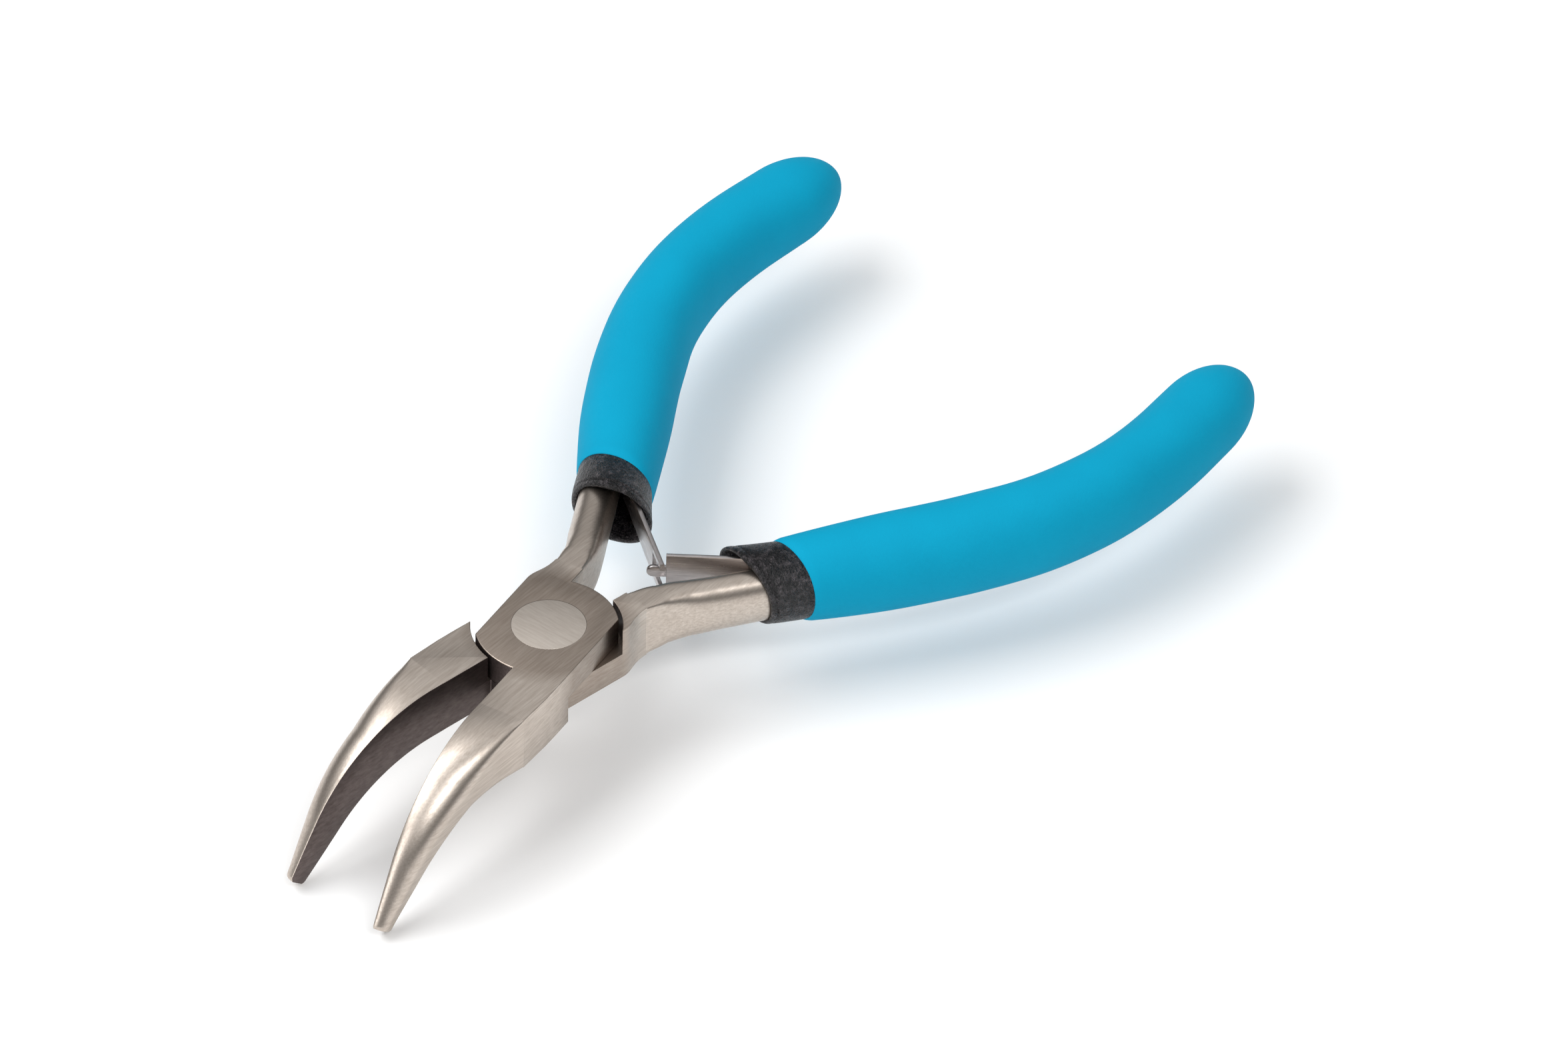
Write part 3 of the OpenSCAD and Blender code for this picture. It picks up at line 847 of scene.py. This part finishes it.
def make_spring(name, side, nodes, fork):
    """One leaf spring as a continuous strip, with a fork or a tongue at its end."""
    path, h, blade_dir, across = leaf_path(side)
    crossing = blade_len(side)
    reach = crossing + (FORK_REACH if fork else TONGUE_REACH)
    end = crossing - (SLOT_BACK if fork else SHOULDER_BACK)
    path += [(h + d * blade_dir, across, d) for d in spread(TURN, end, 14)]
    rings = []
    for p, a, d in path:
        w, z = TAIL_W, TAIL_Z
        if d > -TURN:
            grown = ease((d + TURN) / (2 * TURN))
            full = mix(FORK_ROOT_W, FORK_W, d / reach) if fork else LEAF_W
            w, z = mix(TAIL_W, full, grown), mix(TAIL_Z, LEAF_Z, grown)
        rings.append(leaf_ring(p, a, z, w))
    parts = [skin(rings)]
    if fork:
        parts += [prong(h, blade_dir, across, end - OVERLAP, reach, way) for way in (-1, 1)]
    else:
        parts.append(tongue(h, blade_dir, across, end - OVERLAP, reach))
    piece = finish_mesh(merged(*parts), name, side)
    piece.data.materials.append(SPRING_STEEL)
    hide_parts(*nodes)
    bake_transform(piece)


def make_pin(name, side, body, node):
    """Spring rivet with a domed head on the inner side of the tail."""
    bm = turned(PIN_PROFILE, 48)
    p = beside(hinge_s(side) + PIN_S, TAIL_SHIFT)
    bm.transform(Matrix.Translation((p.x, p.y, TAIL_Z))
                 @ Matrix.Rotation(math.radians(SPLAY), 4, "Z")
                 @ Matrix.Rotation(math.radians(-90), 4, "X"))
    piece = finish_mesh(bm, name, side)
    piece.data.materials.append(SPRING_STEEL)
    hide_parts(node)
    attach(piece, body)


# ---- Sleeve ----------------------------------------------------------------------------------

SLEEVE_SHIFT = [[MOUTH_S, -1.45], [MOUTH_S + 2, -1.2], [FOAM_S, -0.95], [FOAM_S + 8, -0.6],
                [36, -0.4], [42, -0.4], [48, 0], [58, 0.25], [70, 0.1], [PATH_LEN, 0]]
SLEEVE_A = [[MOUTH_S, 4.65], [FOAM_S, 4.2], [FOAM_S + 3, 4.1], [FOAM_S + 8, 3.7], [PATH_LEN, 3.4]]
SLEEVE_B = [[MOUTH_S, 4.35], [FOAM_S, 4.4], [FOAM_S + 3, 4.3], [FOAM_S + 8, 4], [PATH_LEN, 3.7]]
SLEEVE_LEAN = [[MOUTH_S, 1.3], [FOAM_S, 0.3], [FOAM_S + 2, 0], [PATH_LEN, 0]]
SLEEVE_UNDER = [[MOUTH_S, 0.5], [FOAM_S, 0.1], [FOAM_S + 2, 0], [PATH_LEN, 0]]

# The rolled lip from the outside round to the inside, as [distance past the mouth, growth]
LIP = [[1.3, 0], [1.15, -0.02], [1.02, -0.1], [0.92, -0.11], [0.78, -0.03], [0.55, 0],
       [0.3, -0.03], [0.14, -0.1], [0.05, -0.2], [0, -0.33], [0, -0.45], [0.06, -0.58],
       [0.18, -0.68]]

# Squareness of the sleeve's outside, of its lip's inner edge and of its pocket
OUTER_SQUARE = 2.1
LIP_SQUARE = 2.5
POCKET_SQUARE = 2.6

# How far the sleeve's outside runs under the foam, and the pocket's length, end and narrowing there
SLEEVE_HIDDEN = 7
POCKET_LEN = 11.8
POCKET_END = 12.1
POCKET_END_GROW = -2.3


def sleeve_ring(s, grow=0.0, squareness=OUTER_SQUARE):
    return oval(s, along(s, SLEEVE_SHIFT), along(s, SLEEVE_A) + grow, along(s, SLEEVE_B) + grow,
                squareness, 96, along(s, SLEEVE_LEAN), along(s, SLEEVE_UNDER))


def make_sleeve(name, side, body, node):
    """The sleeve's outside from a little way under the foam, its mouth with a rolled lip, and the
    dark pocket inside that closes on the steel."""
    rings = [sleeve_ring(s) for s in spread(FOAM_S + SLEEVE_HIDDEN, MOUTH_S + 1.5, 16)]
    rings += [sleeve_ring(MOUTH_S + d, grow, mix(OUTER_SQUARE, LIP_SQUARE, -grow / SLEEVE_WALL))
              for d, grow in LIP]
    rings += [sleeve_ring(MOUTH_S + d, -SLEEVE_WALL + 0.05, POCKET_SQUARE)
              for d in spread(0.5, POCKET_LEN, 14)]
    rings.append(sleeve_ring(MOUTH_S + POCKET_END, POCKET_END_GROW, POCKET_SQUARE))
    piece = finish_mesh(skin(rings), name, side, SOFT_CREASE)
    piece.data.materials.append(VINYL)
    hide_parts(node)
    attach(piece, body)


# ---- Grip ------------------------------------------------------------------------------------

FOAM_SHIFT = [[FOAM_S, -0.95], [FOAM_S + 0.7, -0.95], [FOAM_S + 8, -0.65], [36, -0.4], [42, -0.4],
              [48, 0], [58, 0.25], [70, 0.1], [PATH_LEN, 0]]
FOAM_A = [[FOAM_S, 4.3], [FOAM_S + 0.7, 4.5], [FOAM_S + 4, 4.75], [30, GRIP_A], [42, GRIP_A],
          [50, GRIP_A - 0.25], [60, GRIP_A - 0.4], [70, GRIP_A - 0.25], [PATH_LEN, GRIP_A - 0.3]]
FOAM_B = [[FOAM_S, 4.5], [FOAM_S + 0.7, 4.85], [FOAM_S + 4, 5.1], [30, GRIP_B],
          [56, GRIP_B + 0.1], [62, GRIP_B - 0.1], [70, GRIP_END_B + 0.3], [PATH_LEN, GRIP_END_B]]
FOAM_LEAN = [[FOAM_S, 1.3], [30, 0], [PATH_LEN, 0]]

# The foam is a little smaller and shorter than the CAD's, to stay inside the CAD's box
FOAM_INSET = 0.07
FOAM_END = PATH_LEN - 0.08

# The foam's inside is only made this far back, and lies this far below the sleeve's surface
FOAM_INSIDE = 9
FOAM_OVERLAP = 0.35


def foam_ring(s, grow=-FOAM_INSET):
    """One ring of the foam, drawn in over the rounded end."""
    t = (s - (FOAM_END - CAP_LEN)) / CAP_LEN
    cap = 1 if t <= 0 else math.sqrt(max(0, 1 - t * t))
    near = 2.5 if s > FOAM_S + 3 else 0.2
    a = (smooth_along(s, FOAM_A, near) + grow) * cap
    b = (smooth_along(s, FOAM_B, near) + grow) * cap
    return oval(s, smooth_along(s, FOAM_SHIFT, near), a, b, OUTER_SQUARE, 96, along(s, FOAM_LEAN))


def make_grip(name, side, body, node):
    """The foam as one closed skin: its inside along the sleeve, its blunt front edge, its outside
    and its round end."""
    rings = [sleeve_ring(s, -FOAM_OVERLAP) for s in spread(FOAM_S + FOAM_INSIDE, FOAM_S + 0.4, 12)]
    rings += [foam_ring(FOAM_S, -0.3), foam_ring(FOAM_S, -0.12)]
    rings += [foam_ring(s) for s in (FOAM_S + 0.08, FOAM_S + 0.25, FOAM_S + 0.5, FOAM_S + 0.9)]
    rings += [foam_ring(s) for s in spread(FOAM_S + 1.4, FOAM_END - CAP_LEN, 90)]
    rings += [foam_ring(FOAM_END - CAP_LEN * (1 - math.sin(math.radians(a))))
              for a in spread(5, 88.5, 22)]
    piece = finish_mesh(skin(rings), name, side, SOFT_CREASE)
    piece.data.materials.append(FOAM)
    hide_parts(node)
    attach(piece, body)


# ---- The pliers ------------------------------------------------------------------------------

make_half("upper_half_steel", 1, True, "upper", "upper_half")
make_half("lower_half_steel", -1, False, "lower", "lower_half")
make_rivet()
make_spring("upper_leaf_spring", 1,
            ("upper_spring_tail", "upper_spring_blade"), True)
make_spring("lower_leaf_spring", -1,
            ("lower_spring_tail", "lower_spring_blade"), False)
for word, way in (("upper", 1), ("lower", -1)):
    make_pin(word + "_spring_pin", way, word, word + "_spring_rivet")
    make_sleeve(word + "_vinyl_sleeve", way, word, word + "_sleeve")
    make_grip(word + "_foam_grip", way, word, word + "_grip")

# ---- Floor and light, in metres --------------------------------------------------------------

FLOOR_SIZE = 3.0
FLOOR_GAP = 0.0005
MIDDLE = (0.01, 0, 0)


def white_floor():
    mesh = bpy.data.meshes.new("floor")
    size, z = FLOOR_SIZE, cad_box[0][2] - FLOOR_GAP
    mesh.from_pydata([(-size, -size, z), (size, -size, z), (size, size, z), (-size, size, z)], [],
                     [(0, 1, 2, 3)])
    floor = bpy.data.objects.new("floor", mesh)
    bpy.context.scene.collection.objects.link(floor)
    look = Look("floor_white", 0.9)
    stops = [(0, (0.93, 0.93, 0.93, 1)), (1, (0.95, 0.95, 0.95, 1))]
    look.use(Base_Color=look.ramp(look.noise(look.place, 3), stops))
    mesh.materials.append(look.material)


def area_light(name, at, target, size, watts):
    """A rectangular lamp that looks at its target."""
    data = bpy.data.lights.new(name, "AREA")
    data.shape = "RECTANGLE"
    data.size, data.size_y = size
    data.energy = watts
    lamp = bpy.data.objects.new(name, data)
    bpy.context.scene.collection.objects.link(lamp)
    lamp.location = at
    lamp.rotation_mode = "QUATERNION"
    lamp.rotation_quaternion = (Vector(target) - Vector(at)).to_track_quat("-Z", "Y")


def studio_sky():
    """Soft light from all round, pale from above and dark from below."""
    world = bpy.data.worlds.new("studio")
    world.use_nodes = True
    sky = world.node_tree
    direction = sky.nodes.new("ShaderNodeTexCoord")
    axes = sky.nodes.new("ShaderNodeSeparateXYZ")
    sky.links.new(direction.outputs["Generated"], axes.inputs[0])
    height = sky.nodes.new("ShaderNodeValToRGB")
    sky.links.new(axes.outputs["Z"], height.inputs["Fac"])
    stops = ((0.3, (0.1, 0.1, 0.1, 1)), (0.7, (1, 1, 1, 1)))
    for element, (at, colour) in zip(height.color_ramp.elements, stops):
        element.position = at
        element.color = colour
    sky.links.new(height.outputs["Color"], sky.nodes["Background"].inputs["Color"])
    sky.nodes["Background"].inputs["Strength"].default_value = 0.75
    bpy.context.scene.world = world


white_floor()
area_light("key", (-0.35, 0.45, 0.9), MIDDLE, (0.8, 0.6), 6.5)
area_light("front", (-0.25, -0.55, 0.75), MIDDLE, (0.5, 0.16), 2.6)
area_light("side", (-0.75, 0.1, 0.3), (0, 0, 0), (0.12, 0.5), 1.2)
studio_sky()
